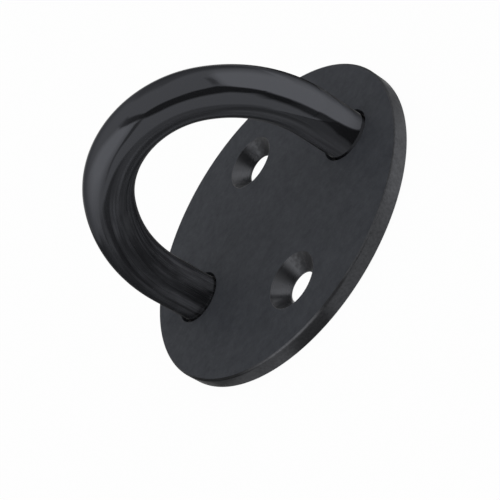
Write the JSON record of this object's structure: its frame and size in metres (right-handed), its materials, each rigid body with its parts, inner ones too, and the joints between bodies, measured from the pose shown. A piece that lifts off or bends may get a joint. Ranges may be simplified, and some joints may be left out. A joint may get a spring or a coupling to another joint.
{
  "type": "round pad eye",
  "caption": "Round pad eye: a bent round bar stands as a bow on a thin round plate with countersunk screw holes, for tying off a line or a shackle.",
  "frame": {"origin": "centre of the round plate, on its back face, which lies on the deck", "axes": "+Z from the back face to the bow's crown; X through the bow's two legs; Y through the two screw holes"},
  "size_m": [0.035, 0.035, 0.0215],
  "materials": {
    "satin_black_plate": "satin black, fine grain, no shine",
    "polished_black_bar": "polished black",
    "black_weld": "ground flush and blackened"
  },
  "bodies": {
    "root": {"base_plate": "satin_black_plate", "bow": "polished_black_bar", "weld_1": "black_weld", "weld_2": "black_weld"}
  },
  "joints": []
}
